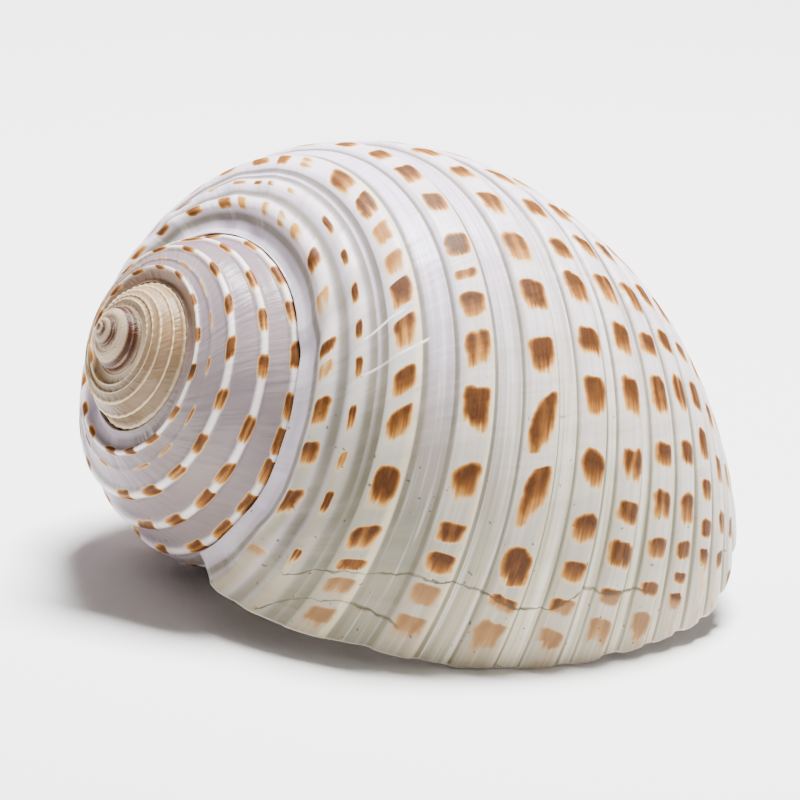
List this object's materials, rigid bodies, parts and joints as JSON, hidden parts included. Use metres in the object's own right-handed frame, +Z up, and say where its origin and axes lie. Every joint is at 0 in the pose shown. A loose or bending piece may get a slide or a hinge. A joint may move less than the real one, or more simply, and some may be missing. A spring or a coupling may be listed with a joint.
{
  "type": "tun shell",
  "caption": "Spotted tun shell: a thin, rounded spiral sea shell with low spiral ribs, a short spire and a wide mouth, lying mouth down.",
  "frame": {"origin": "centre of the footprint, on the surface that the shell lies on", "axes": "+Z up; +X along the shell from the tip of the spire to the front end; the lip faces -Y"},
  "size_m": [0.0804, 0.07, 0.053],
  "materials": {
    "shell": "smooth white shell with rows of orange-brown spots, softly glossy"
  },
  "bodies": {
    "root": {"shell": "shell"}
  },
  "joints": []
}
